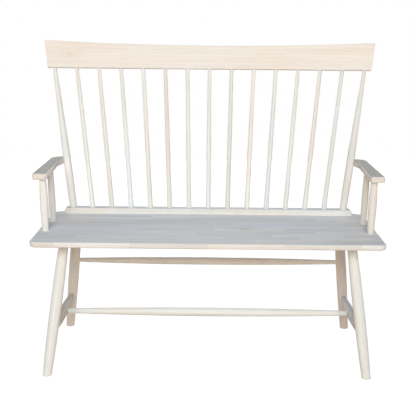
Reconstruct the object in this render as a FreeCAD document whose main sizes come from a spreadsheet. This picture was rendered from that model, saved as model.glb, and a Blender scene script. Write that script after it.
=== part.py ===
import FreeCAD, Part
import Sketcher
import math
import os

from FreeCAD import Placement, Rotation, Vector

# A spindle-back bench in raw wood, in millimetres. The front faces -Y and +Z is up. Left and right
# are as seen from the front, so right is +X. The origin lies on the floor, below the middle of the
# whole bench.

SIZES = [
    # Seat plank
    ("seat_width", 1118.0, "end to end"),
    ("seat_depth", 434.0, "front edge to rear edge"),
    ("seat_thickness", 19.0, "plank"),
    ("seat_height", 445.0, "floor to the seat's top face"),
    ("seat_front_round", 25.0, "front corners, in plan"),
    ("seat_rear_round", 40.0, "rear corners, in plan"),
    ("seat_edge_round", 6.0, "all round, top and bottom"),
    # Rail on the seat's rear edge that carries the back
    ("riser_inset", 44.5, "in from the seat's ends"),
    ("riser_depth", 35.0, "front to rear"),
    ("riser_height", 19.5, "above the seat"),
    ("riser_end_round", 11.0, "top corners at both ends"),
    ("riser_edge_round", 2.0, "long top edges"),
    # Back: spindles, two outer posts and the crest rail
    ("spindle_count", 15.0, "places along the back, the two posts among them"),
    ("post_margin", 29.4, "post's axis in from the riser's end"),
    ("post_fan", 70.7, "how far a post leans out by the time it meets the crest"),
    ("spindle_base_diameter", 17.5, ""),
    ("spindle_top_diameter", 13.3, ""),
    ("post_base_diameter", 25.5, ""),
    ("post_belly_diameter", 28.2, "widest, at the arms"),
    ("post_top_diameter", 13.5, ""),
    ("post_belly_height", 160.0, "above the riser, along the post"),
    ("riser_socket_depth", 14.0, ""),
    ("crest_socket_depth", 26.0, ""),
    ("back_height", 487.5, "riser's top to the crest's lower edge, upright"),
    ("back_lean", 11.86, "degrees from upright"),
    ("crest_end_margin", 24.2, "lower corners beyond the posts' axes"),
    ("crest_end_slant", 12.5, "upper corners beyond the lower ones"),
    ("crest_end_height", 98.0, "at both ends"),
    ("crest_sag", 15.0, "how far the top edge dips at the middle"),
    ("crest_thickness", 20.0, ""),
    ("crest_edge_round", 2.0, ""),
    # Arms
    ("arm_rise", 193.0, "seat's top face to the arm's"),
    ("arm_thickness", 21.0, ""),
    ("arm_width", 48.0, "at the front end"),
    ("arm_overhang", 31.0, "outer edge beyond the axes of the posts below"),
    ("arm_nose", 23.2, "front end ahead of the front post's axis"),
    ("arm_waist", 9.0, "how much narrower where the hollow behind begins"),
    ("arm_hollow_length", 72.0, "hollow of the inner edge, before the post"),
    ("arm_hollow_sag", 5.0, "depth of that hollow"),
    ("arm_tail", 27.0, "rear edge behind the post's axis"),
    ("arm_scribe", 3.2, "how deep the end is hollowed to fit the post"),
    ("arm_front_round", 8.0, "outer front corner, in plan"),
    ("arm_inner_round", 12.0, "inner front corner, in plan"),
    ("arm_rear_round", 40.0, "outer rear corner, in plan"),
    ("arm_edge_round", 5.0, "top and bottom edges"),
    # Turned posts under the arms
    ("arm_post_inset", 26.8, "in from the seat's ends, on the seat"),
    ("arm_post_splay", 3.8, "how far a post leans out by the time it meets the arm"),
    ("arm_post_front", 70.8, "front pair ahead of the seat's middle"),
    ("arm_post_rear", 58.5, "rear pair behind the seat's middle"),
    ("arm_post_base_diameter", 21.0, ""),
    ("arm_post_front_belly_diameter", 27.0, ""),
    ("arm_post_rear_belly_diameter", 23.0, ""),
    ("arm_post_top_diameter", 20.5, ""),
    ("arm_tenon_diameter", 14.0, ""),
    ("arm_tenon_length", 14.0, ""),
    ("seat_socket_depth", 13.0, "for the posts under the arms"),
    # Pin between each arm and its back post
    ("dowel_diameter", 8.0, ""),
    ("dowel_in_arm", 24.0, ""),
    ("dowel_in_post", 11.0, ""),
    # Legs
    ("leg_end_inset", 97.0, "leg's top in from the seat's ends"),
    ("leg_front_inset", 89.2, "front leg's top in from the seat's front edge"),
    ("leg_rear_inset", 83.0, "rear leg's top in from the seat's rear edge"),
    ("leg_end_splay", 53.0, "foot beyond the leg's top, toward the seat's ends"),
    ("leg_front_splay", 86.0, "front foot ahead of its leg's top"),
    ("leg_rear_splay", 97.0, "rear foot behind its leg's top"),
    ("leg_foot_diameter", 30.0, ""),
    ("leg_belly_diameter", 37.0, ""),
    ("leg_top_diameter", 30.5, ""),
    ("leg_belly_height", 235.0, "above the floor, along the leg"),
    ("leg_socket_depth", 12.0, "into the seat's underside"),
    ("foot_plain_length", 12.0, "plain length above the floor before a leg swells"),
    ("foot_edge_chamfer", 1.5, ""),
    # Stretchers
    ("stretcher_height", 135.0, "side stretchers, at both ends"),
    ("side_end_diameter", 18.0, ""),
    ("side_belly_diameter", 31.5, ""),
    ("medial_setback", 13.0, "behind the middle of the side stretchers"),
    ("medial_end_diameter", 17.0, ""),
    ("medial_belly_diameter", 30.0, ""),
    ("rear_stretcher_height", 275.0, "on the rear legs"),
    ("rear_end_diameter", 15.0, ""),
    ("rear_belly_diameter", 27.0, ""),
    # Screws up through the seat into the riser
    ("screw_pairs", 3.0, "pairs, left and right"),
    ("screw_step", 3.0, "spindle places from one pair to the next"),
    ("screw_shank_diameter", 4.2, ""),
    ("screw_head_diameter", 8.4, ""),
    ("screw_head_height", 3.0, ""),
    ("screw_length", 32.0, ""),
    # Fits
    ("glue_gap", 0.1, "all round a tenon in its socket"),
    ("socket_relief", 0.5, "past the end of a tenon"),
    ("straight_lead", 5.0, "plain length outside a socket before a turning swells"),
]

doc = FreeCAD.newDocument("spindle_bench")
sheet = doc.addObject("Spreadsheet::Sheet", "Sizes")
for row, (alias, value, note) in enumerate(SIZES, start=1):
    sheet.set(f"A{row}", alias)
    sheet.set(f"B{row}", str(value))
    sheet.set(f"C{row}", note)
    sheet.setAlias(f"B{row}", alias)
doc.recompute()


def size(alias):
    """A driving dimension, read from the sheet."""
    return float(sheet.get(alias))


def cell(alias):
    """The same dimension as an expression to bind a property to."""
    return f"Sizes.{alias}"


# Places worked out from the driving dimensions

LEAN = math.radians(size("back_lean"))
SEAT_TOP = size("seat_height")
SEAT_UNDERSIDE = SEAT_TOP - size("seat_thickness")
RISER_TOP = SEAT_TOP + size("riser_height")
CREST_BOTTOM = RISER_TOP + size("back_height")
ARM_UNDERSIDE = SEAT_TOP + size("arm_rise") - size("arm_thickness")

# Distances from the plane midway between the ends, with the expressions that bind the long boards
LAST_PLACE = (int(size("spindle_count")) - 1) // 2
SEAT_END = size("seat_width") / 2
RISER_END = SEAT_END - size("riser_inset")
POST_BASE = RISER_END - size("post_margin")
POST_TOP = POST_BASE + size("post_fan")
ARM_POST_BASE = SEAT_END - size("arm_post_inset")
ARM_POST_TOP = ARM_POST_BASE + size("arm_post_splay")
ARM_OUTER = ARM_POST_TOP + size("arm_overhang")
LEG_TOP = SEAT_END - size("leg_end_inset")
FOOT = LEG_TOP + size("leg_end_splay")
SEAT_END_CELLS = f"{cell('seat_width')} / 2"
RISER_END_CELLS = f"{SEAT_END_CELLS} - {cell('riser_inset')}"
CREST_END_CELLS = (f"{RISER_END_CELLS} - {cell('post_margin')} + {cell('post_fan')}"
                   f" + {cell('crest_end_margin')}")
ARM_OUTER_CELLS = (f"{SEAT_END_CELLS} - {cell('arm_post_inset')} + {cell('arm_post_splay')}"
                   f" + {cell('arm_overhang')}")

# Distances behind the seat's middle, less than nothing where a piece stands ahead of it
SEAT_REAR = size("seat_depth") / 2
BACK_BASE = SEAT_REAR - size("riser_depth") / 2
CREST_BASE = BACK_BASE + size("back_height") * math.tan(LEAN)
LEG_TOP_DEEP = {"front": size("leg_front_inset") - SEAT_REAR, "rear": SEAT_REAR - size("leg_rear_inset")}
FOOT_DEEP = {"front": LEG_TOP_DEEP["front"] - size("leg_front_splay"),
             "rear": LEG_TOP_DEEP["rear"] + size("leg_rear_splay")}
ARM_POST_DEEP = {"front": -size("arm_post_front"), "rear": size("arm_post_rear")}


def foot_reach(pair):
    """How far from the seat's middle the outer edge of a foot lies, fore and aft."""
    slope = (FOOT_DEEP[pair] - LEG_TOP_DEEP[pair]) / SEAT_UNDERSIDE
    return abs(FOOT_DEEP[pair]) + size("leg_foot_diameter") / 2 * math.hypot(1, slope)


# The whole bench reaches from its front feet or seat edge to its crest, rear feet or seat edge.
CREST_REACH = (CREST_BASE + size("crest_end_height") * math.sin(LEAN)
               + size("crest_thickness") / 2 * math.cos(LEAN))
FRONT_REACH = max(foot_reach("front"), SEAT_REAR)
REAR_REACH = max(foot_reach("rear"), SEAT_REAR, CREST_REACH)
SEAT_MIDDLE = (FRONT_REACH - REAR_REACH) / 2

UP = Vector(0, 0, 1)
RIGHT = Vector(1, 0, 0)
SIDES = {"left": -1, "right": 1}
# How far a cut runs on into open air, and how near two heights are for them to count as one
CLEAR = 20.0
NEAR = 1e-6
# Turns a round piece or bore about its own axis, so that no two seams meet where they cross
QUARTERED = Placement(Vector(0, 0, 0), Rotation(UP, 45))


def at(x, y, z):
    """A point given by its distance behind the seat's middle instead of the bench's."""
    return Vector(x, SEAT_MIDDLE + y, z)


def toward(start, end):
    """The direction from one point to another."""
    return (end - start).normalize()


def along(start, end):
    """A placement at start whose own Z axis points at end."""
    return Placement(start, Rotation(UP, end - start))


def between(start, end, height):
    """The point of a straight line that lies at a height above the floor."""
    share = (height - start.z) / (end.z - start.z)
    return start + (end - start) * share


# Axes of the turned pieces, each as the two points where it leaves what carries it

def leg_axis(side, pair):
    foot = at(SIDES[side] * FOOT, FOOT_DEEP[pair], 0)
    top = at(SIDES[side] * LEG_TOP, LEG_TOP_DEEP[pair], SEAT_UNDERSIDE)
    return foot, top


def back_axis(place):
    share = place / LAST_PLACE
    base = at(share * POST_BASE, BACK_BASE, RISER_TOP)
    top = at(share * POST_TOP, CREST_BASE, CREST_BOTTOM)
    return base, top


def arm_post_axis(side, pair):
    base = at(SIDES[side] * ARM_POST_BASE, ARM_POST_DEEP[pair], SEAT_TOP)
    top = at(SIDES[side] * ARM_POST_TOP, ARM_POST_DEEP[pair], ARM_UNDERSIDE)
    return base, top


def side_stretcher_axis(side):
    front = between(*leg_axis(side, "front"), size("stretcher_height"))
    rear = between(*leg_axis(side, "rear"), size("stretcher_height"))
    return front, rear


def medial_end(side):
    front, rear = side_stretcher_axis(side)
    return (front + rear) / 2 + toward(front, rear) * size("medial_setback")


def rear_stretcher_end(side):
    return between(*leg_axis(side, "rear"), size("rear_stretcher_height"))


def post_at_arm(side):
    """Where a back post's axis passes the middle of the arm's thickness."""
    return between(*back_axis(SIDES[side] * LAST_PLACE), ARM_UNDERSIDE + size("arm_thickness") / 2)


# Building blocks

def new_body(label, placement):
    body = doc.addObject("PartDesign::Body", label)
    body.Label = label
    body.Placement = placement
    return body


def new_sketch(body, role):
    """An empty sketch on one of the body's own origin planes."""
    sketch = body.newObject("Sketcher::SketchObject", f"{body.Name}_outline")
    plane = next(f for f in body.Origin.OriginFeatures if f.Role == role)
    sketch.AttachmentSupport = [(plane, "")]
    sketch.MapMode = "FlatFace"
    return sketch


def line(start, end):
    """A straight stretch of an outline, as a curve and whether it runs backwards."""
    return Part.LineSegment(start, end), False


def bow(start, middle, end):
    """An arc through three points. A sketch keeps arcs anticlockwise, so some run backwards."""
    if (middle - start).cross(end - start).z < 0:
        return Part.Arc(end, middle, start), True
    return Part.Arc(start, middle, end), False


def close_loop(sketch, stretches):
    """Adds a closed outline and ties each stretch's end to the next one's start. Gives each
    stretch's number in the sketch and the marks of its first and last points."""
    loop = []
    for curve, backwards in stretches:
        number = sketch.addGeometry(curve, False)
        loop.append((number, 2, 1) if backwards else (number, 1, 2))
    for (here, _, last), (following, first, _) in zip(loop, loop[1:] + loop[:1]):
        sketch.addConstraint(Sketcher.Constraint("Coincident", here, last, following, first))
    return loop


def tie_point(sketch, kind, curve, end, value, expression=None):
    """Holds a curve's start or end at a distance from the sketch's origin, bound to the sheet."""
    if abs(value) < NEAR:
        axis = -2 if kind == "DistanceX" else -1
        sketch.addConstraint(Sketcher.Constraint("PointOnObject", curve, end, axis))
        return
    if value > 0:
        number = sketch.addConstraint(Sketcher.Constraint(kind, -1, 1, curve, end, value))
    else:
        number = sketch.addConstraint(Sketcher.Constraint(kind, curve, end, -1, 1, -value))
    if expression:
        sketch.setExpression(f"Constraints[{number}]", expression)


def swell(start, end, widest):
    """An arc from start to end that runs along the axis at whichever of them is the widest."""
    near = end if widest is start else start
    rise = widest.x - near.x
    run = abs(widest.y - near.y)
    radius = (run ** 2 + rise ** 2) / (2 * rise)
    middle_y = (start.y + end.y) / 2
    middle_x = widest.x - radius + math.sqrt(radius ** 2 - (widest.y - middle_y) ** 2)
    return bow(start, Vector(middle_x, middle_y, 0), end)


def turned(label, start, end, stations):
    """A turning on the axis from start to end. Each station is a diameter's name, its distance
    along the axis, and how the outline goes on: straight, rise to the next or fall from this."""
    body = new_body(label, along(start, end) * QUARTERED)
    sketch = new_sketch(body, "XZ_Plane")
    points = [Vector(size(alias) / 2, distance, 0) for alias, distance, _ in stations]
    foot = Vector(0, 0, 0)
    head = Vector(0, points[-1].y, 0)
    stretches = [line(foot, points[0])]
    for (_, _, shape), here, following in zip(stations, points, points[1:]):
        if shape == "rise":
            stretches.append(swell(here, following, following))
        elif shape == "fall":
            stretches.append(swell(here, following, here))
        else:
            stretches.append(line(here, following))
    stretches += [line(points[-1], head), line(head, foot)]
    loop = close_loop(sketch, stretches)
    sketch.addConstraint(Sketcher.Constraint("Coincident", loop[0][0], 1, -1, 1))
    tie_point(sketch, "DistanceX", loop[-1][0], 1, 0)
    sketch.addConstraint(Sketcher.Constraint("Horizontal", loop[-2][0]))
    for (curve, first, last), point, (alias, _, shape) in zip(loop[1:], points, stations):
        tie_point(sketch, "DistanceX", curve, first, point.x, f"{cell(alias)} / 2")
        tie_point(sketch, "DistanceY", curve, first, point.y)
        if shape in ("rise", "fall"):
            widest = last if shape == "rise" else first
            sketch.addConstraint(Sketcher.Constraint("Horizontal", curve, 3, curve, widest))
    turning = body.newObject("PartDesign::Revolution", f"{body.Name}_turning")
    turning.Profile = sketch
    turning.ReferenceAxis = (sketch, ["V_Axis"])
    turning.Angle = 360.0
    sketch.Visibility = False
    doc.recompute()
    return body


def padded(body, sketch, thickness, side="One side"):
    """The sketch's outline raised to a board."""
    board = body.newObject("PartDesign::Pad", f"{body.Name}_board")
    board.Profile = sketch
    board.SideType = side
    board.setExpression("Length", cell(thickness))
    doc.recompute()
    return board


def rounded(body, base, radius, chosen):
    """Rounds the edges of the base feature that a test picks out."""
    names = [f"Edge{n}" for n, edge in enumerate(base.Shape.Edges, start=1) if chosen(edge)]
    fillet = body.newObject("PartDesign::Fillet", f"{body.Name}_round")
    fillet.Base = (base, names)
    fillet.setExpression("Radius", cell(radius))
    doc.recompute()
    return fillet


def bored(body, mouth, inward, depth, diameter, overrun=CLEAR):
    """Bores a socket from its mouth, wider than what it holds by the glue gap all round."""
    before = body.Shape.Volume
    bottom = mouth + inward * depth
    socket = body.newObject("PartDesign::SubtractiveCylinder", f"{body.Name}_socket")
    socket.setExpression("Radius", f"{cell(diameter)} / 2 + {cell('glue_gap')}")
    socket.Height = depth + overrun
    socket.Placement = body.Placement.inverse() * along(bottom, mouth) * QUARTERED
    doc.recompute()
    if body.Shape.Volume >= before:
        raise RuntimeError(f"{socket.Name} cut nothing")


def lies_flat(edge, height):
    """Whether an edge lies wholly in the plane at a height of its body's own frame."""
    return abs(edge.BoundBox.ZMin - height) < NEAR and abs(edge.BoundBox.ZMax - height) < NEAR


def draw_outline(sketch, corners):
    """A closed outline. Each corner is a point, the expressions that set it across and along the
    board where the sheet does, and what leaves it: None for a straight line, ("round", apex, radius)
    for a quarter round inside a square apex, or ("through", point) for an arc through a point."""
    points = [corner[0] for corner in corners]
    stretches = []
    for (start, _, _, bend), end in zip(corners, points[1:] + points[:1]):
        if bend is None:
            stretches.append(line(start, end))
        elif bend[0] == "round":
            centre = start + end - bend[1]
            stretches.append(bow(start, centre + toward(centre, bend[1]) * size(bend[2]), end))
        else:
            stretches.append(bow(start, bend[1], end))
    loop = close_loop(sketch, stretches)
    for (curve, first, _), (point, across, deep, bend) in zip(loop, corners):
        tie_point(sketch, "DistanceX", curve, first, point.x, across)
        tie_point(sketch, "DistanceY", curve, first, point.y, deep)
        if bend and bend[0] == "round":
            number = sketch.addConstraint(Sketcher.Constraint("Radius", curve, size(bend[2])))
            sketch.setExpression(f"Constraints[{number}]", cell(bend[2]))
        elif bend:
            middle = sketch.addGeometry(Part.Point(bend[1]), True)
            sketch.addConstraint(Sketcher.Constraint("PointOnObject", middle, 1, curve))
            tie_point(sketch, "DistanceX", middle, 1, bend[1].x)
            tie_point(sketch, "DistanceY", middle, 1, bend[1].y)


# Seat: one plank, with rounded corners and edges, bored for the legs and arm posts

def make_seat():
    body = new_body("seat", Placement(at(0, 0, SEAT_UNDERSIDE), Rotation()))
    sketch = new_sketch(body, "XY_Plane")
    front_bend = size("seat_front_round")
    rear_bend = size("seat_rear_round")
    half_depth = f"{cell('seat_depth')} / 2"
    front_width = f"{SEAT_END_CELLS} - {cell('seat_front_round')}"
    front_depth = f"{half_depth} - {cell('seat_front_round')}"
    rear_width = f"{SEAT_END_CELLS} - {cell('seat_rear_round')}"
    rear_depth = f"{half_depth} - {cell('seat_rear_round')}"
    rear_left = ("round", Vector(-SEAT_END, SEAT_REAR, 0), "seat_rear_round")
    front_left = ("round", Vector(-SEAT_END, -SEAT_REAR, 0), "seat_front_round")
    front_right = ("round", Vector(SEAT_END, -SEAT_REAR, 0), "seat_front_round")
    rear_right = ("round", Vector(SEAT_END, SEAT_REAR, 0), "seat_rear_round")
    draw_outline(sketch, [
        (Vector(rear_bend - SEAT_END, SEAT_REAR, 0), rear_width, half_depth, rear_left),
        (Vector(-SEAT_END, SEAT_REAR - rear_bend, 0), SEAT_END_CELLS, rear_depth, None),
        (Vector(-SEAT_END, front_bend - SEAT_REAR, 0), SEAT_END_CELLS, front_depth, front_left),
        (Vector(front_bend - SEAT_END, -SEAT_REAR, 0), front_width, half_depth, None),
        (Vector(SEAT_END - front_bend, -SEAT_REAR, 0), front_width, half_depth, front_right),
        (Vector(SEAT_END, front_bend - SEAT_REAR, 0), SEAT_END_CELLS, front_depth, None),
        (Vector(SEAT_END, SEAT_REAR - rear_bend, 0), SEAT_END_CELLS, rear_depth, rear_right),
        (Vector(SEAT_END - rear_bend, SEAT_REAR, 0), rear_width, half_depth, None),
    ])
    board = padded(body, sketch, "seat_thickness")
    thickness = size("seat_thickness")
    rounded(body, board, "seat_edge_round", lambda e: lies_flat(e, 0) or lies_flat(e, thickness))
    for side in SIDES:
        for pair in ("front", "rear"):
            foot, top = leg_axis(side, pair)
            bored(body, top, toward(foot, top), size("leg_socket_depth") + size("socket_relief"),
                  "leg_top_diameter")
            base, arm_end = arm_post_axis(side, pair)
            bored(body, base, toward(arm_end, base), size("seat_socket_depth") + size("socket_relief"),
                  "arm_post_base_diameter")
    for x in screw_places():
        mouth = at(x, BACK_BASE, SEAT_UNDERSIDE)
        bored(body, mouth, UP, size("seat_thickness") + CLEAR, "screw_shank_diameter")
        bored(body, mouth, UP, size("screw_head_height"), "screw_head_diameter")
    return body


# Riser: the rail along the seat's rear edge

def make_riser():
    body = new_body("back_riser", Placement(at(0, BACK_BASE, SEAT_TOP), Rotation()))
    sketch = new_sketch(body, "XY_Plane")
    deep = size("riser_depth") / 2
    half_depth = f"{cell('riser_depth')} / 2"
    corners = ((-RISER_END, -deep), (RISER_END, -deep), (RISER_END, deep), (-RISER_END, deep))
    draw_outline(sketch, [(Vector(x, y, 0), RISER_END_CELLS, half_depth, None) for x, y in corners])
    board = padded(body, sketch, "riser_height")
    height = size("riser_height")
    ends = rounded(body, board, "riser_end_round",
                   lambda e: lies_flat(e, height) and e.BoundBox.XLength < NEAR)
    rounded(body, ends, "riser_edge_round", lambda e: lies_flat(e, height) and e.BoundBox.YLength < NEAR)
    for place in range(-LAST_PLACE, LAST_PLACE + 1):
        base, top = back_axis(place)
        outer = abs(place) == LAST_PLACE
        bored(body, base, toward(top, base), size("riser_socket_depth") + size("socket_relief"),
              "post_base_diameter" if outer else "spindle_base_diameter")
    for x in screw_places():
        bored(body, at(x, BACK_BASE, SEAT_TOP), UP, screw_reach() + size("socket_relief"),
              "screw_shank_diameter")
    return body


# Crest rail: a leaning board with slanted ends and a dished top edge

def make_crest():
    placement = Placement(at(0, CREST_BASE, CREST_BOTTOM), Rotation(RIGHT, -size("back_lean")))
    body = new_body("crest_rail", placement)
    sketch = new_sketch(body, "XZ_Plane")
    low = POST_TOP + size("crest_end_margin")
    high = low + size("crest_end_slant")
    rise = size("crest_end_height")
    dip = Vector(0, rise - size("crest_sag"), 0)
    high_cells = f"{CREST_END_CELLS} + {cell('crest_end_slant')}"
    draw_outline(sketch, [
        (Vector(-low, 0, 0), CREST_END_CELLS, None, None),
        (Vector(low, 0, 0), CREST_END_CELLS, None, None),
        (Vector(high, rise, 0), high_cells, cell("crest_end_height"), ("through", dip)),
        (Vector(-high, rise, 0), high_cells, cell("crest_end_height"), None),
    ])
    board = padded(body, sketch, "crest_thickness", "Symmetric")
    rounded(body, board, "crest_edge_round", lambda e: True)
    for place in range(-LAST_PLACE, LAST_PLACE + 1):
        base, top = back_axis(place)
        outer = abs(place) == LAST_PLACE
        bored(body, top, toward(base, top), size("crest_socket_depth") + size("socket_relief"),
              "post_top_diameter" if outer else "spindle_top_diameter")
    return body


# Spindles and outer posts, each let into the riser below and the crest above

def make_back_turning(label, place):
    base, top = back_axis(place)
    inward = toward(base, top)
    start = base - inward * size("riser_socket_depth")
    end = top + inward * size("crest_socket_depth")
    low = size("riser_socket_depth") + size("straight_lead")
    length = start.distanceToPoint(end)
    high = length - size("crest_socket_depth") - size("straight_lead")
    if abs(place) < LAST_PLACE:
        return turned(label, start, end, [
            ("spindle_base_diameter", 0, "straight"), ("spindle_base_diameter", low, "straight"),
            ("spindle_top_diameter", high, "straight"), ("spindle_top_diameter", length, "straight")])
    body = turned(label, start, end, [
        ("post_base_diameter", 0, "straight"), ("post_base_diameter", low, "rise"),
        ("post_belly_diameter", size("riser_socket_depth") + size("post_belly_height"), "straight"),
        ("post_top_diameter", high, "straight"), ("post_top_diameter", length, "straight")])
    side = "right" if place > 0 else "left"
    outward = RIGHT * SIDES[side]
    mouth = post_at_arm(side) + outward * size("post_belly_diameter") / 2
    bored(body, mouth, -outward, size("dowel_in_post") + size("socket_relief"), "dowel_diameter")
    return body


# Arms: flat boards on two turned posts, scribed to the back post behind

def arm_end_x():
    """How far from the middle plane the arm's inner end stands, at the back post."""
    post = post_at_arm("right")
    return post.x + size("post_belly_diameter") / 2 + size("glue_gap") - size("arm_scribe")


def make_arm(side):
    sign = SIDES[side]
    outward = RIGHT * sign
    post = post_at_arm(side)
    body = new_body(f"arm_{side}", Placement(Vector(0, post.y, ARM_UNDERSIDE), Rotation()))
    sketch = new_sketch(body, "XY_Plane")
    outer = ARM_OUTER
    inner = outer - size("arm_width")
    front = SEAT_MIDDLE + ARM_POST_DEEP["front"] - size("arm_nose") - post.y
    tail = size("arm_tail")
    outer_bend = size("arm_front_round")
    inner_bend = size("arm_inner_round")
    sweep = size("arm_rear_round")
    inner_cells = f"{ARM_OUTER_CELLS} - {cell('arm_width')}"
    inner_front = Vector(sign * inner, front + inner_bend, 0)
    inner_end = Vector(sign * arm_end_x(), -tail, 0)
    hollow_start = Vector(sign * (inner + size("arm_waist")), -tail - size("arm_hollow_length"), 0)
    hollow = (hollow_start + inner_end) / 2 + outward * size("arm_hollow_sag")
    front_outer = ("round", Vector(sign * outer, front, 0), "arm_front_round")
    front_inner = ("round", Vector(sign * inner, front, 0), "arm_inner_round")
    rear_outer = ("round", Vector(sign * outer, tail, 0), "arm_rear_round")
    draw_outline(sketch, [
        (inner_front, inner_cells, None, None),
        (hollow_start, f"{inner_cells} + {cell('arm_waist')}",
         f"{cell('arm_tail')} + {cell('arm_hollow_length')}", ("through", hollow)),
        (inner_end, None, cell("arm_tail"), None),
        (Vector(sign * arm_end_x(), tail, 0), None, cell("arm_tail"), None),
        (Vector(sign * (outer - sweep), tail, 0), f"{ARM_OUTER_CELLS} - {cell('arm_rear_round')}",
         cell("arm_tail"), rear_outer),
        (Vector(sign * outer, tail - sweep, 0), ARM_OUTER_CELLS, None, None),
        (Vector(sign * outer, front + outer_bend, 0), ARM_OUTER_CELLS, None, front_outer),
        (Vector(sign * (outer - outer_bend), front, 0), f"{ARM_OUTER_CELLS} - {cell('arm_front_round')}",
         None, None),
        (Vector(sign * (inner + inner_bend), front, 0), f"{inner_cells} + {cell('arm_inner_round')}",
         None, front_inner),
    ])
    board = padded(body, sketch, "arm_thickness")
    thickness = size("arm_thickness")
    rounded(body, board, "arm_edge_round", lambda e: lies_flat(e, 0) or lies_flat(e, thickness))
    base, top = back_axis(sign * LAST_PLACE)
    bored(body, between(base, top, ARM_UNDERSIDE - CLEAR), toward(base, top),
          size("arm_thickness") + 2 * CLEAR, "post_belly_diameter")
    mouth = post + outward * size("post_belly_diameter") / 2
    bored(body, mouth, outward, size("dowel_in_arm") + size("socket_relief"), "dowel_diameter")
    for pair in ("front", "rear"):
        base, top = arm_post_axis(side, pair)
        bored(body, top, toward(base, top), size("arm_tenon_length") + size("socket_relief"),
              "arm_tenon_diameter")
    return body


def make_arm_post(side, pair):
    base, top = arm_post_axis(side, pair)
    inward = toward(base, top)
    tilt = math.tan(UP.getAngle(inward))
    shoulder_gap = size("arm_post_top_diameter") / 2 * tilt + size("glue_gap")
    start = base - inward * size("seat_socket_depth")
    end = top + inward * size("arm_tenon_length")
    length = start.distanceToPoint(end)
    low = size("seat_socket_depth") + size("straight_lead")
    shoulder = length - size("arm_tenon_length") - shoulder_gap
    return turned(f"arm_post_{pair}_{side}", start, end, [
        ("arm_post_base_diameter", 0, "straight"), ("arm_post_base_diameter", low, "rise"),
        (f"arm_post_{pair}_belly_diameter", (low + shoulder) / 2, "fall"),
        ("arm_post_top_diameter", shoulder, "straight"), ("arm_tenon_diameter", shoulder, "straight"),
        ("arm_tenon_diameter", length, "straight")])


# Legs: splayed turnings cut level at the floor, bored for the stretchers

def make_leg(side, pair):
    foot, top = leg_axis(side, pair)
    upward = toward(foot, top)
    below = CLEAR
    start = foot - upward * below
    end = top + upward * size("leg_socket_depth")
    length = start.distanceToPoint(end)
    high = length - size("leg_socket_depth") - size("straight_lead")
    body = turned(f"leg_{pair}_{side}", start, end, [
        ("leg_foot_diameter", 0, "straight"),
        ("leg_foot_diameter", below + size("foot_plain_length"), "rise"),
        ("leg_belly_diameter", below + size("leg_belly_height"), "fall"),
        ("leg_top_diameter", high, "straight"), ("leg_top_diameter", length, "straight")])
    whole = body.Shape.Volume
    waste = 2 * size("leg_belly_diameter")
    floor_cut = body.newObject("PartDesign::SubtractiveBox", f"{body.Name}_floor_cut")
    floor_cut.Length = waste
    floor_cut.Width = waste
    floor_cut.Height = waste
    corner = foot - Vector(waste / 2, waste / 2, waste)
    floor_cut.Placement = body.Placement.inverse() * Placement(corner, Rotation())
    doc.recompute()
    if body.Shape.Volume >= whole:
        raise RuntimeError(f"{body.Label} was not cut level")
    sole = body.Placement.inverse().multVec(foot)
    rim = [f"Edge{n}" for n, edge in enumerate(floor_cut.Shape.Edges, start=1)
           if edge.BoundBox.Center.distanceToPoint(sole) < size("leg_foot_diameter") / 4]
    eased = body.newObject("PartDesign::Chamfer", f"{body.Name}_foot_edge")
    eased.Base = (floor_cut, rim)
    eased.setExpression("Size", cell("foot_edge_chamfer"))
    doc.recompute()
    front, rear = side_stretcher_axis(side)
    here, there = (front, rear) if pair == "front" else (rear, front)
    bored(body, here, toward(there, here), size("socket_relief"), "side_end_diameter", 2 * CLEAR)
    if pair == "rear":
        here = rear_stretcher_end(side)
        outward = RIGHT * SIDES[side]
        bored(body, here, outward, size("socket_relief"), "rear_end_diameter", 2 * CLEAR)
    return body


# Stretchers: swelled turnings that end at the axes of what they join

def make_stretcher(label, start, end, kind, start_lead, end_lead):
    length = start.distanceToPoint(end)
    return turned(label, start, end, [
        (f"{kind}_end_diameter", 0, "straight"), (f"{kind}_end_diameter", start_lead, "rise"),
        (f"{kind}_belly_diameter", length / 2, "fall"),
        (f"{kind}_end_diameter", length - end_lead, "straight"),
        (f"{kind}_end_diameter", length, "straight")])


def make_stretchers():
    made = []
    leg_lead = size("leg_belly_diameter") / 2 + size("straight_lead")
    side_lead = size("side_belly_diameter") / 2 + size("straight_lead")
    for side in SIDES:
        front, rear = side_stretcher_axis(side)
        body = make_stretcher(f"side_stretcher_{side}", front, rear, "side", leg_lead, leg_lead)
        outward = RIGHT * SIDES[side]
        bored(body, medial_end(side), outward, size("socket_relief"), "medial_end_diameter", 2 * CLEAR)
        made.append(body)
    ends = [medial_end(side) for side in SIDES]
    made.append(make_stretcher("medial_stretcher", *ends, "medial", side_lead, side_lead))
    ends = [rear_stretcher_end(side) for side in SIDES]
    made.append(make_stretcher("rear_stretcher", *ends, "rear", leg_lead, leg_lead))
    return made


# Hidden fixings: pins between arms and posts, and screws from below into the riser

def gathered(label, pieces):
    """Separate solids that share one node."""
    group = doc.addObject("Part::Compound", label)
    group.Label = label
    group.Links = pieces
    doc.recompute()
    return group


def make_dowels():
    pins = []
    for side in SIDES:
        outward = RIGHT * SIDES[side]
        mouth = post_at_arm(side) + outward * size("post_belly_diameter") / 2
        pin = doc.addObject("Part::Cylinder", f"dowel_{side}")
        pin.setExpression("Radius", f"{cell('dowel_diameter')} / 2")
        pin.setExpression("Height", f"{cell('dowel_in_post')} + {cell('dowel_in_arm')}")
        start = mouth - outward * size("dowel_in_post")
        pin.Placement = along(start, start + outward)
        pins.append(pin)
    return gathered("arm_dowels", pins)


def screw_places():
    """Screws stand midway between spindles, in pairs left and right."""
    pitch = POST_BASE / LAST_PLACE
    right = [pitch * (0.5 + n * size("screw_step")) for n in range(int(size("screw_pairs")))]
    return [-x for x in reversed(right)] + right


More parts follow.
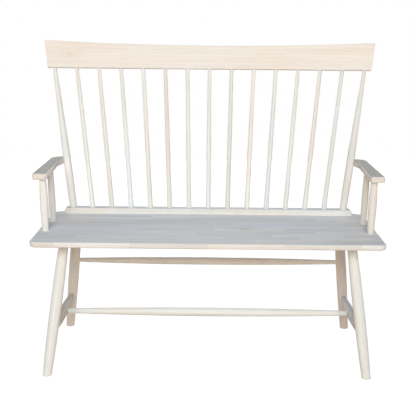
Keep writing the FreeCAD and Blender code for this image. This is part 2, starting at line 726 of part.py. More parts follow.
def screw_reach():
    """How far a screw stands up inside the riser."""
    return size("screw_length") - size("seat_thickness")


def make_screws():
    screws = []
    for x in screw_places():
        start = at(x, BACK_BASE, SEAT_UNDERSIDE)
        end = start + UP * size("screw_length")
        screws.append(turned(f"screw_{len(screws) + 1}", start, end, [
            ("screw_head_diameter", 0, "straight"),
            ("screw_head_diameter", size("screw_head_height"), "straight"),
            ("screw_shank_diameter", size("screw_head_height"), "straight"),
            ("screw_shank_diameter", size("screw_length"), "straight")]))
    return gathered("riser_screws", screws)


nodes = [make_seat(), make_riser(), make_crest()]
for place in range(-LAST_PLACE, LAST_PLACE + 1):
    if abs(place) == LAST_PLACE:
        label = "back_post_right" if place > 0 else "back_post_left"
    else:
        label = f"spindle_{place + LAST_PLACE:02d}"
    nodes.append(make_back_turning(label, place))
for side in SIDES:
    nodes.append(make_arm(side))
    for pair in ("front", "rear"):
        nodes.append(make_arm_post(side, pair))
        nodes.append(make_leg(side, pair))
nodes += make_stretchers()
nodes += [make_dowels(), make_screws()]

doc.recompute()
for item in doc.Objects:
    if {"Invalid", "Error"} & set(item.State):
        raise RuntimeError(f"{item.Label} failed: {item.State}")
for node in nodes:
    if node.Shape.isNull() or not node.Shape.isValid():
        raise RuntimeError(f"{node.Label} has no valid shape")

os.makedirs("parts", exist_ok=True)
whole = FreeCAD.BoundBox()
for node in nodes:
    node.Shape.exportStep(f"parts/{node.Label}.step")
    whole.add(node.Shape.optimalBoundingBox(False, False))
print(f"{len(nodes)} nodes, {whole.XLength:.1f} x {whole.YLength:.1f} x {whole.ZLength:.1f} mm")
print(f"middle {whole.Center.x:.2f}, {whole.Center.y:.2f}, lowest {whole.ZMin:.3f}")
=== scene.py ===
# %% [markdown]
# # A spindle-back bench in raw wood
#
# The real bench is plain sanded wood: a plank seat, splayed turned legs with stretchers between
# them, a row of thin spindles under a dished crest rail, and flat arms on turned posts. Nothing
# on it is painted or oiled, so its look comes from pale grain, soft edges and soft light.
#
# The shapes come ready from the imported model. This lesson gives them a camera, a wood finish
# that follows the grain of each piece, and a bright studio.

# %% Load the frame
import math
import random

import bmesh
import bpy
import numpy as np
from mathutils import Matrix, Vector


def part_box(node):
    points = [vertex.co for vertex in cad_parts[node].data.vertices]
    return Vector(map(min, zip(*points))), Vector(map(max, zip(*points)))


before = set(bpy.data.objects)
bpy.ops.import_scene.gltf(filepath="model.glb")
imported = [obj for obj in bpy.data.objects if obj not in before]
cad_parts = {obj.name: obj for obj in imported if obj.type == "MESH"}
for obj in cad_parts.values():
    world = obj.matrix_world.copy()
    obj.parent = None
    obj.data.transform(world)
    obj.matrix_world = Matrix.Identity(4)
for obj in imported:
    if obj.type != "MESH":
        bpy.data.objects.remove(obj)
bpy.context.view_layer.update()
scene = bpy.context.scene
scene.view_settings.view_transform = "Standard"

# %% [markdown]
# ## The camera
#
# The bench is seen almost straight from the front, from a little above the crest, by a camera
# that is tipped down and turned a hair clockwise. A helper such as Track To would hide that small
# roll, so the camera's three axes are worked out from its yaw, pitch and roll instead.

# %% Camera
CAMERA_PLACE = Vector((0.0013, -2.6761, 1.1060))
YAW, PITCH, ROLL = -0.0008, -0.2234, 0.0094
FOCAL_PIXELS = 804.2
IMAGE_PIXELS = 416
SENSOR = 36.0

ahead = Vector((math.sin(YAW), math.cos(YAW), 0))
forward = ahead * math.cos(PITCH) + Vector((0, 0, math.sin(PITCH)))
level = Vector((math.cos(YAW), -math.sin(YAW), 0))
above = level.cross(forward)
camera_right = level * math.cos(ROLL) + above * math.sin(ROLL)
camera_up = above * math.cos(ROLL) - level * math.sin(ROLL)
camera_turn = Matrix((camera_right, camera_up, -forward)).transposed().to_4x4()

camera_data = bpy.data.cameras.new("camera")
camera_data.sensor_width = SENSOR
camera_data.lens = FOCAL_PIXELS * SENSOR / IMAGE_PIXELS
camera = bpy.data.objects.new("camera", camera_data)
scene.collection.objects.link(camera)
camera.matrix_world = Matrix.Translation(CAMERA_PLACE) @ camera_turn
scene.camera = camera
print("lens", round(camera_data.lens, 1), "mm")

# %% [markdown]
# ## Small tools for node trees
#
# A wood finish takes a few dozen nodes. They could be laid out by hand in the node editor, but in
# a script short helpers keep the recipe readable: one places a node, one links a socket or writes
# a plain value there, and the others wrap the nodes that the recipe uses again and again.

# %% Node helpers
def place(tree, kind, **settings):
    """A new node with its settings."""
    node = tree.nodes.new(kind)
    for name, value in settings.items():
        setattr(node, name, value)
    return node


def feed(tree, inlet, source):
    """Links an output to an inlet, or writes a plain value there."""
    if isinstance(source, bpy.types.NodeSocket):
        tree.links.new(source, inlet)
    else:
        inlet.default_value = source


def sums(tree, operation, *sources):
    """One Math node."""
    node = place(tree, "ShaderNodeMath", operation=operation)
    for inlet, source in zip(node.inputs, sources):
        feed(tree, inlet, source)
    return node.outputs[0]


def vectors(tree, operation, *sources):
    """One Vector Math node, which gives a vector or a number."""
    node = place(tree, "ShaderNodeVectorMath", operation=operation)
    for inlet, source in zip(node.inputs, sources):
        feed(tree, inlet, source)
    return next(outlet for outlet in node.outputs if outlet.enabled)


print("four helpers for single nodes")

# %% [markdown]
# Five more helpers build on those: a smooth step, a weighed sum, noise, one colour over another,
# and the three axes of a vector.

# %% Pattern helpers
def rise(tree, value, low, high):
    """Nothing below low, all above high, and a smooth rise between them."""
    node = place(tree, "ShaderNodeMapRange", interpolation_type="SMOOTHSTEP")
    feed(tree, node.inputs["Value"], value)
    node.inputs["From Min"].default_value = low
    node.inputs["From Max"].default_value = high
    return node.outputs["Result"]


def weighed(tree, parts, start=0.0):
    """The start plus each part times its weight."""
    total = start
    for part, weight in parts:
        total = sums(tree, "MULTIPLY_ADD", part, weight, total)
    return total


def noise(tree, where, lumps, detail):
    """Noise with so many lumps to the metre along each axis."""
    stretched = vectors(tree, "MULTIPLY", where, lumps)
    node = place(tree, "ShaderNodeTexNoise")
    feed(tree, node.inputs["Vector"], stretched)
    node.inputs["Scale"].default_value = 1.0
    node.inputs["Detail"].default_value = detail
    return node.outputs["Fac"]


def stain(tree, share, plain, stained, blend="MIX"):
    """One colour over another, by a share."""
    node = place(tree, "ShaderNodeMix", data_type="RGBA", blend_type=blend)
    feed(tree, node.inputs[0], share)
    feed(tree, node.inputs[6], plain)
    feed(tree, node.inputs[7], stained)
    return node.outputs[2]


def axes(tree, vector):
    """A vector's X, Y and Z outlets."""
    node = place(tree, "ShaderNodeSeparateXYZ")
    feed(tree, node.inputs[0], vector)
    return node.outputs


print("five helpers for patterns")

# %% [markdown]
# ## The wood, as a node group
#
# Every piece is cut from the same kind of timber, so one group holds the recipe. It works in the
# piece's own frame, in metres: Z runs along the grain, X and Y across it. The pieces differ in
# where that frame lies, in a random shift through the timber, and in two colours.
#
# A single group is better here than a copy of the nodes in each material: a change to the grain
# is made once and shows on the whole bench.

# %% The group's inlets and outlets
WOOD_INLETS = {"Place": "Vector", "Facing": "Vector", "Shift": "Vector", "Knot": "Vector",
               "Knot Share": "Float", "Pale": "Color", "Deep": "Color",
               "Stave Width": "Float", "Stave Length": "Float", "Stave Slide": "Float"}
WOOD_OUTLETS = {"Colour": "Color", "Roughness": "Float", "Height": "Float"}

wood = bpy.data.node_groups.new("raw_wood", "ShaderNodeTree")
for name, kind in WOOD_INLETS.items():
    wood.interface.new_socket(name, in_out="INPUT", socket_type="NodeSocket" + kind)
for name, kind in WOOD_OUTLETS.items():
    wood.interface.new_socket(name, in_out="OUTPUT", socket_type="NodeSocket" + kind)
inlets = place(wood, "NodeGroupInput").outputs
outlets = place(wood, "NodeGroupOutput").inputs
print("wood group with", len(WOOD_INLETS), "inlets")

# %% [markdown]
# ### Glued-up staves
#
# The boards are glued up from short staves, side by side and end to end. A Brick texture could
# draw them, but it gives one random shade to a brick, and here each stave needs several random
# numbers, so a few Math nodes count the staves instead. The place across the board, divided by a
# stave's width, numbers the rows. The place along it, divided by a stave's length and slid on from
# row to row, numbers the staves of a row. A thin line is left where two staves meet. A turned
# piece is given a stave far larger than itself, and so shows no line.

# %% Stave rows and seams
SEAM_DARK, SEAM_CLEAR = 0.0002, 0.0007
ROW_SLIDE = 0.382


def seam_line(stave_place, stave_size):
    """1 on the line between two staves, 0 elsewhere."""
    off_middle = sums(wood, "SUBTRACT", sums(wood, "FRACT", stave_place), 0.5)
    share = sums(wood, "SUBTRACT", 0.5, sums(wood, "ABSOLUTE", off_middle))
    gap = sums(wood, "MULTIPLY", share, stave_size)
    return sums(wood, "SUBTRACT", 1.0, rise(wood, gap, SEAM_DARK, SEAM_CLEAR))


on_board = axes(wood, inlets["Place"])
row_place = sums(wood, "ADD", sums(wood, "DIVIDE", on_board["X"], inlets["Stave Width"]), 0.5)
row_number = sums(wood, "FLOOR", row_place)
slide = sums(wood, "MULTIPLY_ADD", row_number, ROW_SLIDE, inlets["Stave Slide"])
stave_place = sums(wood, "ADD", sums(wood, "DIVIDE", on_board["Z"], inlets["Stave Length"]), slide)
stave_number = sums(wood, "FLOOR", stave_place)
side_seam = seam_line(row_place, inlets["Stave Width"])
end_seam = seam_line(stave_place, inlets["Stave Length"])
seam = sums(wood, "MAXIMUM", side_seam, end_seam)
print("staves counted,", len(wood.nodes), "nodes so far")

# %% [markdown]
# Each stave comes from another part of the tree, so it has its own tone, its own warmth and its
# own grain. White noise turns the stave's two numbers into three random ones. They set the tone
# and the warmth, and together they make a jump through the timber, so the grain breaks at a seam.

# %% What each stave draws
STAVE_JUMP = (0.5, 0.5, 2.0)

numbers = place(wood, "ShaderNodeCombineXYZ")
feed(wood, numbers.inputs["X"], row_number)
feed(wood, numbers.inputs["Y"], stave_number)
stave_dice = place(wood, "ShaderNodeTexWhiteNoise", noise_dimensions="3D")
feed(wood, stave_dice.inputs["Vector"], vectors(wood, "ADD", numbers.outputs[0], inlets["Shift"]))
drawn = place(wood, "ShaderNodeSeparateColor")
feed(wood, drawn.inputs[0], stave_dice.outputs["Color"])
stave_tone = drawn.outputs["Red"]
stave_warmth = drawn.outputs["Green"]

jump = vectors(wood, "MULTIPLY", stave_dice.outputs["Color"], STAVE_JUMP)
in_timber = vectors(wood, "ADD", inlets["Place"], inlets["Shift"])
in_timber = vectors(wood, "ADD", in_timber, jump)
print("staves drawn,", len(wood.nodes), "nodes so far")

# %% [markdown]
# ### A knot
#
# Two boards have a small knot, where a branch began. It is longer along the grain than across it,
# so the way to its middle is squeezed along Z before it is measured. A narrow range of that
# distance makes its dark heart, and a wide one the wood that bends round it.

# %% Knot
KNOT_SQUEEZE = (1.0, 1.0, 0.45)
KNOT_HEART = (0.001, 0.007)
KNOT_REACH = (0.003, 0.035)

from_knot = vectors(wood, "SUBTRACT", inlets["Place"], inlets["Knot"])
knot_gap = vectors(wood, "LENGTH", vectors(wood, "MULTIPLY", from_knot, KNOT_SQUEEZE))
knot = sums(wood, "SUBTRACT", 1.0, rise(wood, knot_gap, *KNOT_HEART))
by_knot = sums(wood, "SUBTRACT", 1.0, rise(wood, knot_gap, *KNOT_REACH))
print("knot done,", len(wood.nodes), "nodes so far")

# %% [markdown]
# ### Rings, streaks and pores
#
# Growth rings are circles round the tree's heart. Sawn or turned wood shows them as long bands,
# because the heart runs nearly along the piece. A Wave texture has rings too, but with a sine of
# the distance from the heart a ring's width is a plain length. Noise that is stretched along the
# grain bends the rings, the knot pushes them aside, and finer noise, stretched much more, gives
# the streaks, fibres and short dark pores of this open-grained wood.

# %% Grain
ACROSS = (1.0, 1.0, 0.0)
RING_WIDTH = 0.011
RING_BEND = 0.040
RING_POWER = 2.0
KNOT_SWERVE = 0.020
BEND_LUMPS = (9.0, 9.0, 1.6)
PATCH_LUMPS = (9.0, 9.0, 2.2)
STREAK_LUMPS = (60.0, 60.0, 2.8)
FIBRE_LUMPS = (1700.0, 1700.0, 35.0)
PORE_LUMPS = (1300.0, 1300.0, 60.0)
PORE_RANGE = (0.62, 0.74)

bend = noise(wood, in_timber, BEND_LUMPS, detail=3.0)
from_heart = vectors(wood, "LENGTH", vectors(wood, "MULTIPLY", in_timber, ACROSS))
ring_place = weighed(wood, ((bend, RING_BEND), (by_knot, KNOT_SWERVE)), from_heart)
ring_wave = sums(wood, "SINE", sums(wood, "MULTIPLY", ring_place, 2 * math.pi / RING_WIDTH))
ring = sums(wood, "POWER", sums(wood, "MULTIPLY_ADD", ring_wave, 0.5, 0.5), RING_POWER)
streak = noise(wood, in_timber, STREAK_LUMPS, detail=5.0)
fibre = noise(wood, in_timber, FIBRE_LUMPS, detail=2.0)
pore = rise(wood, noise(wood, in_timber, PORE_LUMPS, detail=1.0), *PORE_RANGE)
patch = noise(wood, in_timber, PATCH_LUMPS, detail=3.0)
print("grain done,", len(wood.nodes), "nodes so far")

# %% [markdown]
# ### Colour
#
# The tone of a spot adds up what the rings, streaks, broad patches, stave and knot say, and picks
# a colour between the pale and the deep one. A Color Ramp could hold those colours, but it can't
# be fed from outside the group, and each piece has its own two. A second mix makes some staves
# and patches cooler and others warmer.

# %% Colour of the long grain
TONE_PARTS = ((ring, 0.12), (streak, 0.62), (patch, 0.55), (stave_tone, 0.25))
TONE_RANGE = (0.34, 1.14)
KNOT_TONE = 0.5
WARMTH_RANGE = (0.2, 0.8)
COOL = (0.980, 0.998, 1.030, 1.0)
WARM = (1.025, 0.994, 0.975, 1.0)

knot_tone = sums(wood, "MULTIPLY", inlets["Knot Share"], KNOT_TONE)
tone = weighed(wood, (*TONE_PARTS, (by_knot, knot_tone)))
colour = stain(wood, rise(wood, tone, *TONE_RANGE), inlets["Pale"], inlets["Deep"])
warmth = sums(wood, "MULTIPLY", sums(wood, "ADD", stave_warmth, patch), 0.5)
hue = stain(wood, rise(wood, warmth, *WARMTH_RANGE), COOL, WARM)
colour = stain(wood, 1.0, colour, hue, "MULTIPLY")
print("long grain coloured,", len(wood.nodes), "nodes so far")

# %% [markdown]
# Pores, seams and the knot's heart are small and dark. They are stained on top, one after the
# other, because a stain hides whatever lies under it.

# %% Pores, seams and the knot's heart
PORE_SHARE = 0.30
PORE_STAIN = (0.50, 0.38, 0.27, 1.0)
SEAM_SHARE = 0.16
SEAM_STAIN = (0.42, 0.31, 0.21, 1.0)
KNOT_STAIN = (0.40, 0.26, 0.15, 1.0)

colour = stain(wood, sums(wood, "MULTIPLY", pore, PORE_SHARE), colour, PORE_STAIN)
colour = stain(wood, sums(wood, "MULTIPLY", seam, SEAM_SHARE), colour, SEAM_STAIN)
colour = stain(wood, sums(wood, "MULTIPLY", knot, inlets["Knot Share"]), colour, KNOT_STAIN)
print("dark marks stained,", len(wood.nodes), "nodes so far")

# %% [markdown]
# Last come the end grain, which is duller than the long grain, and the eased edges, which are
# sanded most and look paler. A face whose normal lies along the grain is end grain. An edge is
# found by the Bevel node: near an edge its rounded normal differs from the true one. A mask could
# be painted by hand, but it would have to be painted again when the shape changes.

# %% End grain and eased edges
END_RANGE = (0.72, 0.97)
END_SHARE = 0.55
END_STAIN = (0.72, 0.68, 0.60, 1.0)
EDGE_RADIUS = 0.004
WORN_RANGE = (0.004, 0.06)
SANDED_SHARE = 0.40
SANDED = (0.95, 0.90, 0.83, 1.0)

along_grain = sums(wood, "ABSOLUTE", axes(wood, inlets["Facing"])["Z"])
end_grain = rise(wood, along_grain, *END_RANGE)
colour = stain(wood, sums(wood, "MULTIPLY", end_grain, END_SHARE), colour, END_STAIN)

soft_corner = place(wood, "ShaderNodeBevel", samples=4)
soft_corner.inputs["Radius"].default_value = EDGE_RADIUS
true_normal = place(wood, "ShaderNodeNewGeometry").outputs["Normal"]
agree = vectors(wood, "DOT_PRODUCT", soft_corner.outputs[0], true_normal)
worn = rise(wood, sums(wood, "SUBTRACT", 1.0, agree), *WORN_RANGE)
colour = stain(wood, sums(wood, "MULTIPLY", worn, SANDED_SHARE), colour, SANDED)
feed(wood, outlets["Colour"], colour)
print("colour done,", len(wood.nodes), "nodes so far")

# %% [markdown]
# ### Roughness and height
#
# Raw wood is dull. Fibres scatter the light a little differently from spot to spot, end grain is
# the roughest and a handled edge the smoothest. The height is only a fraction of a millimetre, so
# bump is enough and the outline stays as it is: fibres stand up, pores and seams sink in.

# %% Roughness and height
PLAIN_ROUGHNESS = 0.48
ROUGHNESS_PARTS = ((fibre, 0.20), (end_grain, 0.12), (worn, -0.06))
HEIGHT_PARTS = ((fibre, 0.45), (streak, 0.35), (pore, -0.5), (seam, -1.0))

feed(wood, outlets["Roughness"], weighed(wood, ROUGHNESS_PARTS, PLAIN_ROUGHNESS))
feed(wood, outlets["Height"], weighed(wood, HEIGHT_PARTS))
print("wood group done with", len(wood.nodes), "nodes")

# %% [markdown]
# ## The grain's direction in each piece
#
# The long boards have their grain along their length. A turned piece has it along its own axis,
# which leans, so the axis is measured: it is the direction in which the mesh's points spread
# furthest, and numpy's singular value decomposition gives that in one line.

# %% Grain directions
BOARDS = {"seat": (1, 0, 0), "back_riser": (1, 0, 0), "crest_rail": (1, 0, 0),
          "arm_left": (0, 1, 0), "arm_right": (0, 1, 0)}


def grain_axis(name):
    """The direction of a piece's grain."""
    if name in BOARDS:
        return Vector(BOARDS[name])
    points = np.array([vertex.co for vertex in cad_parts[name].data.vertices])
    _, _, spread = np.linalg.svd(points - points.mean(axis=0), full_matrices=False)
    return Vector(spread[0])


def grain_frame(name):
    """The turn and the shift that carry a point of the bench to the piece's own frame."""
    low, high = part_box(name)
    turn = grain_axis(name).to_track_quat("Z", "Y").to_matrix().transposed()
    return turn, -(turn @ ((low + high) / 2))


print("leg's grain", tuple(round(c, 3) for c in grain_axis("leg_front_left")))

# %% [markdown]
# ## Timber colours, and painted light and shade
#
# No two pieces of timber have quite the same colour. A table of tints sets the pieces apart. The
# tints were fitted until each piece showed the real bench's tone in this studio, so they hold the
# timber's own colour and some of the light that the real bench stood in. A few carry painted shade
# and painted light outright: painted shade darkens the side stretchers' inner faces and the rear
# legs, and browns the right rear leg, as under the seat, while painted light brightens the rear
# stretcher and the rear arm posts against the shade that the seat and the arms throw on them.
# Under another light the darkest of them may look too grey, and are the first to change.

# %% Tints, with painted light and shade on some pieces
BOARD_WOOD = ((0.930, 0.890, 0.820), (0.824, 0.741, 0.622))
STREAKY_WOOD = ((0.945, 0.872, 0.790), (0.745, 0.650, 0.545))
TURNED_WOOD = ((0.892, 0.894, 0.842), (0.750, 0.709, 0.612))
STREAKY_BOARDS = ("seat", "arm_left", "arm_right")
NO_TINT = (1.0, 1.0, 1.0)
TINTS_AND_PAINTED_LIGHT = {
    "seat": (0.89, 0.94, 0.97),
    "arm_right": (0.90, 0.90, 0.92),
    "back_riser": (0.88, 0.925, 0.97),
    "spindle": (1.05, 1.05, 1.05),
    "medial": (0.97, 1.02, 1.05),
    # painted light: the rear stretcher is brighter against the seat's shade
    "rear_stretcher": (1.02, 1.02, 1.03),
    # painted shade: the side stretchers are darkened all over, because their inner faces lie in shade
    "side_stretcher": (0.71, 0.715, 0.72),
    # painted light: the rear arm posts are brighter against the shade of the arms
    "arm_post_rear": (1.06, 1.06, 1.07),
    "back_post": (1.03, 1.04, 1.06),
    "leg_front": (0.99, 1.005, 1.01),
    # painted shade from under the seat on the rear legs, browner on the right
    "leg_rear_left": (0.97, 0.96, 0.95),
    "leg_rear_right": (0.88, 0.80, 0.74),
}
print("tints for", len(TINTS_AND_PAINTED_LIGHT), "kinds of piece")

# %% [markdown]
# On top of its tint every piece draws lots for its tone, and the spindles and arm posts for a
# little more or less warmth. The Object Info node has a random number for each object too, but
# it can't be chosen, while here another seed gives another bench. The result goes into the
# group's two colours, which needs no further nodes.

# %% A piece's own colours
TONE_SPREAD = 0.025
WARMTH_DRAWN = ("spindle", "arm_post")
WARMTH_SPREAD = (-0.015, 0.055)
WARMTH_SHIFT = (0.4, -0.3, -1.0)
timber_dice = random.Random(11)
warmth_dice = random.Random(5)


def timber(name):
    """The pale and the deep colour that a piece starts from."""
    if name in STREAKY_BOARDS:
        return STREAKY_WOOD
    return BOARD_WOOD if name in BOARDS else TURNED_WOOD


def piece_tint(name):
    """A piece's tint, found by how its name starts, with the tone and warmth that it draws."""
    tint = next((TINTS_AND_PAINTED_LIGHT[start] for start in TINTS_AND_PAINTED_LIGHT if name.startswith(start)), NO_TINT)
    tone = 1 + timber_dice.uniform(-TONE_SPREAD, TONE_SPREAD)
    warmth = warmth_dice.uniform(*WARMTH_SPREAD) if name.startswith(WARMTH_DRAWN) else 0.0
    return [c * tone * (1 + shift * warmth) for c, shift in zip(tint, WARMTH_SHIFT)]


print("a leg starts from", timber("leg_front_left"))

# %% [markdown]
# ## Painted shade on level tops
#
# The real seat, arms and riser look greyer on their level tops than on their upright faces, in the
# light they stood in, so their tops get painted shade: a second tint, fitted in the same way. How far
# a face looks up picks it, by Texture Coordinate's Normal, which stays with the piece. A lamp could
# be moved to grey the tops, but it would change the legs too. The seat's top gets painted light that
# grows towards its rear edge, to even out the shade under the back, between two distances measured
# forwards from that edge.

# %% Painted shade on the tops
UP_RANGE = (0.60, 0.97)
ARM_TOP_PAINTED_SHADE = (0.70, 0.705, 0.68)
# painted shade on the level tops of each board
TOP_PAINTED_SHADE = {
    "seat": (0.945, 0.955, 0.985),
    "arm_left": ARM_TOP_PAINTED_SHADE,
    "arm_right": ARM_TOP_PAINTED_SHADE,
    "back_riser": (0.77, 0.81, 0.84),
}
# painted light on the seat's top near its rear edge, against the shade under the back
SEAT_REAR_PAINTED_LIGHT = (1.10, 1.12, 1.16)
PAINTED_LIGHT_START, PAINTED_LIGHT_END = 0.226, 0.016
seat_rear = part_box("seat")[1].y


def with_painted_top_shade(tree, where, name, colour):
    """The colour, with painted shade on the tops and painted light at the seat's rear."""
    if name not in TOP_PAINTED_SHADE:
        return colour
    tint = (*TOP_PAINTED_SHADE[name], 1.0)
    if name == "seat":
        depth = axes(tree, where["Object"])["Y"]
        # painted light, growing towards the seat's rear edge
        pale = rise(tree, depth, seat_rear - PAINTED_LIGHT_START, seat_rear - PAINTED_LIGHT_END)
        tint = stain(tree, pale, tint, (*SEAT_REAR_PAINTED_LIGHT, 1.0))
    # painted shade on the faces that look up
    up = rise(tree, axes(tree, where["Normal"])["Z"], *UP_RANGE)
    tint = stain(tree, up, (*NO_TINT, 1.0), tint)
    return stain(tree, 1.0, colour, tint, "MULTIPLY")


print("top tints for", len(TOP_PAINTED_SHADE), "boards, seat's rear edge at", round(seat_rear, 3))

# %% [markdown]
# ## A pattern for each piece
#
# The seat is laid from narrow staves, the arms from long strips, and the riser and the crest rail
# from wide staves end to end. Each has a stave's width, its length, and how far the first one is
# slid along. A knot has its place, measured from the middle of its board, and its strength.

# %% Staves and knots
STAVE_INLETS = ("Stave Width", "Stave Length", "Stave Slide")
WHOLE = 10.0
NO_STAVES = (WHOLE, WHOLE, 0.5)
ARM_STAVES = (0.032, WHOLE, 0.5)
STAVES = {
    "seat": (0.0362, 0.24, 0.3),
    "arm_left": ARM_STAVES,
    "arm_right": ARM_STAVES,
    "crest_rail": (WHOLE, 0.463, 2.637),
    "back_riser": (WHOLE, 0.31, 0.2),
}
NO_KNOT = (Vector((9.0, 9.0, 9.0)), 0.0)
KNOTS = {"seat": (Vector((0.1165, -0.0262, 0.0095)), 0.55),
         "crest_rail": (Vector((-0.5025, -0.0102, 0.0)), 0.16)}
print("boards with staves:", sorted(STAVES), "and with a knot:", sorted(KNOTS))

# %% [markdown]
# A copy of the group node makes a piece's pattern. Mapping nodes carry the place and the facing of
# each spot into the piece's own frame. Turning the mesh itself would do it too, but the packed
# shapes stay as they are.

# %% A piece's pattern
SHIFT_RANGE = (0.02, 0.3)


def turned(tree, kind, source, turn):
    """A Mapping node that turns a point or a direction of the bench into a piece's own frame."""
    node = place(tree, "ShaderNodeMapping", vector_type=kind)
    feed(tree, node.inputs["Vector"], source)
    node.inputs["Rotation"].default_value = turn.to_euler()
    return node


def wood_pattern(tree, where, name):
    """The wood group, set for one piece."""
    turn, shift = grain_frame(name)
    in_piece = turned(tree, "POINT", where["Object"], turn)
    in_piece.inputs["Location"].default_value = shift
    facing = turned(tree, "VECTOR", where["Normal"], turn)
    pattern = place(tree, "ShaderNodeGroup", node_tree=wood)
    feed(tree, pattern.inputs["Place"], in_piece.outputs[0])
    feed(tree, pattern.inputs["Facing"], facing.outputs[0])
    pattern.inputs["Shift"].default_value = [timber_dice.uniform(*SHIFT_RANGE) for _ in range(3)]
    knot_place, knot_share = KNOTS.get(name, NO_KNOT)
    pattern.inputs["Knot"].default_value = turn @ knot_place
    pattern.inputs["Knot Share"].default_value = knot_share
    for inlet, value in zip(STAVE_INLETS, STAVES.get(name, NO_STAVES)):
        pattern.inputs[inlet].default_value = value
    tint = piece_tint(name)
    for inlet, rgb in zip(("Pale", "Deep"), timber(name)):
        pattern.inputs[inlet].default_value = [c * share for c, share in zip(rgb, tint)] + [1.0]
    return pattern.outputs


print("pattern ready for", len(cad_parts) - 1, "wooden pieces")

# %% [markdown]
# ## The wood finish
#
# A Principled shader shows the pattern: colour, roughness and bump come from the group, and a low
# specular level keeps the raw wood from shining. One material for all pieces could tell them apart
# by an attribute, but a material of its own for each piece keeps the tints easy to find and change.

# %% Material helpers
def bare_material(name):
    """A material with an empty node tree."""
    material = bpy.data.materials.new(name)
    material.use_nodes = True
    material.node_tree.nodes.clear()
    return material


def bumped(tree, height, strength, depth):
    """A normal that follows a height."""
    node = place(tree, "ShaderNodeBump")
    node.inputs["Strength"].default_value = strength
    node.inputs["Distance"].default_value = depth
    feed(tree, node.inputs["Height"], height)
    return node.outputs[0]


def show(tree, shader, kind="Material"):
    """Sends a shader to the output of a material or of the world."""
    output = place(tree, "ShaderNodeOutput" + kind)
    feed(tree, output.inputs["Surface"], shader.outputs[0])


print("three helpers for materials")

# %% Wood materials
WOOD_SPECULAR = 0.12
WOOD_BUMP = 0.35
WOOD_BUMP_DEPTH = 0.00025


def wood_finish(name):
    """The wood material of one piece."""
    material = bare_material(name + "_wood")
    tree = material.node_tree
    where = place(tree, "ShaderNodeTexCoord").outputs
    pattern = wood_pattern(tree, where, name)
    shader = place(tree, "ShaderNodeBsdfPrincipled")
    shader.inputs["Specular IOR Level"].default_value = WOOD_SPECULAR
    feed(tree, shader.inputs["Base Color"], with_painted_top_shade(tree, where, name, pattern["Colour"]))
    feed(tree, shader.inputs["Roughness"], pattern["Roughness"])
    feed(tree, shader.inputs["Normal"], bumped(tree, pattern["Height"], WOOD_BUMP, WOOD_BUMP_DEPTH))
    show(tree, shader)
    return material


wooden = sorted(set(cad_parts) - {"riser_screws"})
for name in wooden:
    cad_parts[name].material_slots[0].material = wood_finish(name)
print("wooden pieces finished:", len(wooden))

# %% [markdown]
# ## Screws
#
# Six screws hold the back's riser from below. Only their heads show, in the seat's underside:
# zinc-plated steel, dulled by fine scratches. Stretched noise gives the scratches, which is
# enough for heads that are a few millimetres across.

# %% Screw steel
SCRATCH_LUMPS = (2600.0, 300.0, 300.0)
CLOUD_LUMPS = (350.0, 350.0, 350.0)
STEEL_BRIGHT = (0.62, 0.62, 0.64, 1.0)
STEEL_DULL = (0.50, 0.50, 0.51, 1.0)
STEEL_ROUGHNESS, SCRATCH_ROUGHNESS = 0.25, 0.3
STEEL_BUMP, STEEL_BUMP_DEPTH = 0.2, 0.0001

steel = bare_material("zinc_steel")
steel_tree = steel.node_tree
steel_where = place(steel_tree, "ShaderNodeTexCoord").outputs["Object"]
scratch = noise(steel_tree, steel_where, SCRATCH_LUMPS, detail=3.0)
cloud = noise(steel_tree, steel_where, CLOUD_LUMPS, detail=2.0)
steel_roughness = weighed(steel_tree, ((scratch, SCRATCH_ROUGHNESS),), STEEL_ROUGHNESS)
steel_normal = bumped(steel_tree, scratch, STEEL_BUMP, STEEL_BUMP_DEPTH)

steel_shader = place(steel_tree, "ShaderNodeBsdfPrincipled")
steel_shader.inputs["Metallic"].default_value = 1.0
feed(steel_tree, steel_shader.inputs["Base Color"], stain(steel_tree, cloud, STEEL_BRIGHT, STEEL_DULL))
feed(steel_tree, steel_shader.inputs["Roughness"], steel_roughness)
feed(steel_tree, steel_shader.inputs["Normal"], steel_normal)
show(steel_tree, steel_shader)
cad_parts["riser_screws"].material_slots[0].material = steel
print("screws finished")

# %% [markdown]
# ## The studio
#
# The bench stands on a white floor in front of a white background. A strong lamp on a white floor
# would whiten it too, but it would bleach the wood as well. So to the camera the floor is almost
# all its own white, with a thin share of plain paint that keeps the bench's shadow. To other light
# it is a pale warm paint, which throws a soft light up under the seat.

# %% Floor
FLOOR_HALF = 4.0
FLOOR_DROP = 0.0004

floor_mesh = bpy.data.meshes.new("floor")
shape = bmesh.new()
bmesh.ops.create_grid(shape, x_segments=1, y_segments=1, size=FLOOR_HALF)
bmesh.ops.translate(shape, verts=shape.verts, vec=(0, 0, -FLOOR_DROP))
shape.to_mesh(floor_mesh)
shape.free()
floor = bpy.data.objects.new("floor", floor_mesh)
scene.collection.objects.link(floor)
print("floor", 2 * FLOOR_HALF, "m wide")

# %% [markdown]
# The Light Path node tells the two kinds of light apart. Mirrors and glass count with the camera,
# so that they would show the same white room.

# %% Floor paint
FLOOR_GLOW = 0.91
SHADOW_PAINT = (0.30, 0.30, 0.30, 1.0)
BOUNCE_PAINT = (0.88, 0.68, 0.54, 1.0)


def seen_or_not(tree, seen, unseen):
    """One shader for the camera, mirrors and glass, and another for all other light."""
    path = place(tree, "ShaderNodeLightPath").outputs
    shown = sums(tree, "MAXIMUM", path["Is Camera Ray"], path["Is Glossy Ray"])
    shown = sums(tree, "MAXIMUM", shown, path["Is Transmission Ray"])
    either = place(tree, "ShaderNodeMixShader")
    feed(tree, either.inputs[0], shown)
    feed(tree, either.inputs[1], unseen.outputs[0])
    feed(tree, either.inputs[2], seen.outputs[0])
    return either


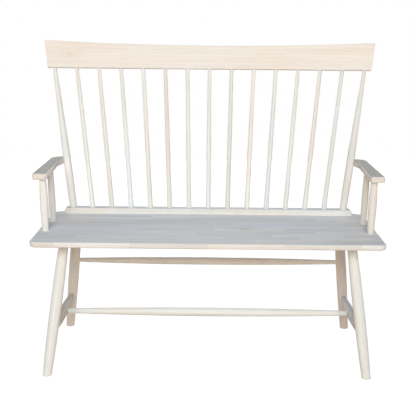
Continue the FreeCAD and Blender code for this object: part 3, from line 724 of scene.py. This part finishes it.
floor_paint = bare_material("floor_white")
floor_tree = floor_paint.node_tree
glow = place(floor_tree, "ShaderNodeEmission")
glow.inputs["Strength"].default_value = FLOOR_GLOW
shadow_coat = place(floor_tree, "ShaderNodeBsdfDiffuse")
shadow_coat.inputs["Color"].default_value = SHADOW_PAINT
white_coat = place(floor_tree, "ShaderNodeAddShader")
feed(floor_tree, white_coat.inputs[0], glow.outputs[0])
feed(floor_tree, white_coat.inputs[1], shadow_coat.outputs[0])
bounce_coat = place(floor_tree, "ShaderNodeBsdfDiffuse")
bounce_coat.inputs["Color"].default_value = BOUNCE_PAINT
show(floor_tree, seen_or_not(floor_tree, white_coat, bounce_coat))
floor_mesh.materials.append(floor_paint)
print("floor painted with", len(floor_tree.nodes), "nodes")

# %% [markdown]
# The room is dim and warm near the floor, and brighter and cooler overhead, so the flat tops look
# greyer than the upright faces. World light has no shape to set, but its colour may depend on the
# direction that it comes from, and a Mix node between two colours does that.

# %% Room light
LOW_LIGHT = (0.10, 0.085, 0.07, 1.0)
HIGH_LIGHT = (0.19, 0.29, 0.43, 1.0)
OVERHEAD_RANGE = (0.0, 0.8)

world = bpy.data.worlds.new("studio")
scene.world = world
world.use_nodes = True
room_tree = world.node_tree
room_tree.nodes.clear()
toward = place(room_tree, "ShaderNodeTexCoord").outputs["Generated"]
overhead = rise(room_tree, axes(room_tree, toward)["Z"], *OVERHEAD_RANGE)
room = place(room_tree, "ShaderNodeBackground")
feed(room_tree, room.inputs["Color"], stain(room_tree, overhead, LOW_LIGHT, HIGH_LIGHT))
backdrop = place(room_tree, "ShaderNodeBackground")
backdrop.inputs["Color"].default_value = (1.0, 1.0, 1.0, 1.0)
show(room_tree, seen_or_not(room_tree, backdrop, room), "World")
print("room light made with", len(room_tree.nodes), "nodes")

# %% [markdown]
# The upright faces are lit by one large soft box in front, high enough for the seat to shade the
# rear legs, and far enough away to light the legs and the crest alike. A sun lamp would be simpler,
# but the arms would throw hard shadows on the posts behind them. A small warm box near the floor
# softens the shade under the seat. One box behind and one at each end light the other sides of the
# bench. They stand low, so that they leave the level tops alone, and out of the camera's sight.

# %% Lamps
LAMP_AIM = Vector((0.0, 0.0, 0.55))
FRONT_COLOUR = (1.0, 0.985, 0.96)
LOW_COLOUR = (1.0, 0.92, 0.83)
REAR_COLOUR = (1.0, 0.98, 0.95)
LAMPS = {
    "front_box": ((-0.15, -5.8, 3.5), 3.8, 325.0, FRONT_COLOUR),
    "low_box": ((0.0, -4.2, 0.5), 0.9, 11.0, LOW_COLOUR),
    "rear_box": ((0.0, 5.6, 0.7), 2.4, 130.0, REAR_COLOUR),
    "side_box_left": ((-5.6, 1.6, 0.9), 2.4, 40.0, REAR_COLOUR),
    "side_box_right": ((5.6, 1.6, 0.9), 2.4, 40.0, REAR_COLOUR),
}


def soft_box(name, where, width, power, colour):
    """A round area lamp that looks at the bench."""
    data = bpy.data.lights.new(name, "AREA")
    data.shape = "DISK"
    data.size = width
    data.energy = power
    data.color = colour
    lamp = bpy.data.objects.new(name, data)
    lamp.location = where
    lamp.rotation_mode = "QUATERNION"
    lamp.rotation_quaternion = (LAMP_AIM - Vector(where)).to_track_quat("-Z", "Y")
    lamp.visible_camera = False
    scene.collection.objects.link(lamp)


for name, settings in LAMPS.items():
    soft_box(name, *settings)
